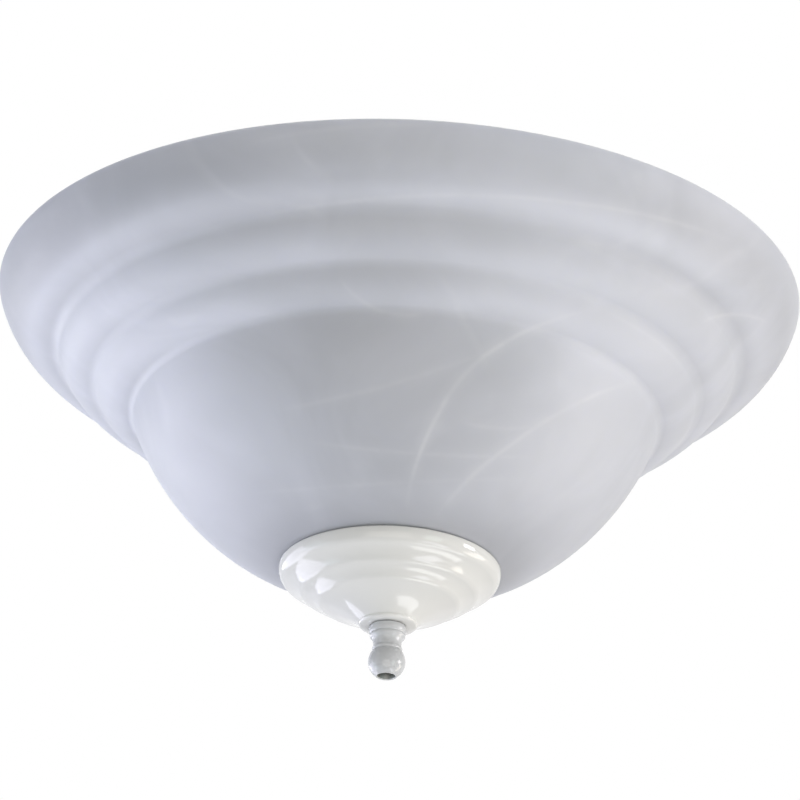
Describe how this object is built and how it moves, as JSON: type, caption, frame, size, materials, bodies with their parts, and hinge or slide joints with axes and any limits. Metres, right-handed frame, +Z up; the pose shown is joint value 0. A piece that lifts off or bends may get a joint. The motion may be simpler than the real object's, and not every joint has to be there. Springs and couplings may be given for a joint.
{
  "type": "ceiling fan light kit",
  "caption": "Bowl light kit for a ceiling fan: tiered frosted glass bowl hung on a hollow rod by a stepped dish cap and a drilled finial, with lamps under a fitter pan.",
  "frame": {"origin": "on the rod's axis, in the plane of the fitter pan's face that seats on the fan's switch housing", "axes": "+Z up along the rod towards the fan; one lamp points along +Y and the leads join on the +Y side"},
  "size_m": [0.33, 0.33, 0.2123],
  "materials": {
    "frosted_glass": "frosted faux alabaster, faint veins, satin",
    "white_enamel": "gloss white enamel",
    "grey_white_enamel": "gloss pale grey enamel",
    "zinc_plate": "bright zinc plate",
    "brass": "bright brass",
    "holder_moulding": "satin moulded phenolic",
    "lamp_glass": "soft white coated",
    "lamp_insulator": "black glassy insulator",
    "rubber": "matte rubber",
    "black_insulation": "satin lead insulation",
    "white_insulation": "satin lead insulation",
    "orange_cap": "satin moulded cap"
  },
  "bodies": {
    "fixture": {"fitter_pan": "white_enamel", "mounting_nipple": "zinc_plate", "housing_nut": "zinc_plate", "housing_washer": "zinc_plate", "pan_nut": "zinc_plate", "pan_washer": "zinc_plate", "hickey": "zinc_plate", "center_rod": "zinc_plate", "socket_bracket": "zinc_plate", "bracket_washer": "zinc_plate", "bracket_nut": "zinc_plate", "lampholder_1": "holder_moulding", "lampholder_2": "holder_moulding", "lampholder_3": "holder_moulding", "screw_shell_1": "brass", "screw_shell_2": "brass", "screw_shell_3": "brass", "centre_contact_1": "brass", "centre_contact_2": "brass", "centre_contact_3": "brass", "lampholder_screw_1": "zinc_plate", "lampholder_screw_2": "zinc_plate", "lampholder_screw_3": "zinc_plate", "stop_nut": "zinc_plate", "stop_washer": "zinc_plate", "black_lead_1": "black_insulation", "black_lead_2": "black_insulation", "black_lead_3": "black_insulation", "white_lead_1": "white_insulation", "white_lead_2": "white_insulation", "white_lead_3": "white_insulation", "black_connector": "orange_cap", "white_connector": "orange_cap"},
    "bowl": {"glass_bowl": "frosted_glass", "glass_washer": "rubber"},
    "cap": {"bottom_cap": "white_enamel", "cap_gasket": "rubber"},
    "finial": {"finial": "grey_white_enamel"},
    "lamp_1": {"bulb_glass_1": "lamp_glass", "bulb_base_1": "brass", "bulb_contact_1": "lamp_insulator"},
    "lamp_2": {"bulb_glass_2": "lamp_glass", "bulb_base_2": "brass", "bulb_contact_2": "lamp_insulator"},
    "lamp_3": {"bulb_glass_3": "lamp_glass", "bulb_base_3": "brass", "bulb_contact_3": "lamp_insulator"}
  },
  "joints": [
    {"name": "bowl_lower", "type": "slide", "parent": "fixture", "child": "bowl", "axis": [0, 0, -1], "range_m": [0, 0.15]},
    {"name": "cap_drop", "type": "slide", "parent": "bowl", "child": "cap", "axis": [0, 0, -1], "range_m": [0, 0.0047]},
    {"name": "finial_turn", "type": "hinge", "parent": "cap", "child": "finial", "pos_m": [0, 0, -0.175], "axis": [0, 0, -1], "range_deg": [0, 1800]},
    {"name": "lamp_1_turn", "type": "hinge", "parent": "fixture", "child": "lamp_1", "pos_m": [0, 0.02112, -0.04383], "axis": [0, 0.9945, -0.1045], "range_deg": [0, 1080]},
    {"name": "lamp_2_turn", "type": "hinge", "parent": "fixture", "child": "lamp_2", "pos_m": [-0.01829, -0.01056, -0.04383], "axis": [-0.8613, -0.4973, -0.1045], "range_deg": [0, 1080]},
    {"name": "lamp_3_turn", "type": "hinge", "parent": "fixture", "child": "lamp_3", "pos_m": [0.01829, -0.01056, -0.04383], "axis": [0.8613, -0.4973, -0.1045], "range_deg": [0, 1080]}
  ],
  "couplings": [
    {"joint": "finial_turn", "follows": "cap_drop", "rad_per_m": 6679}
  ]
}
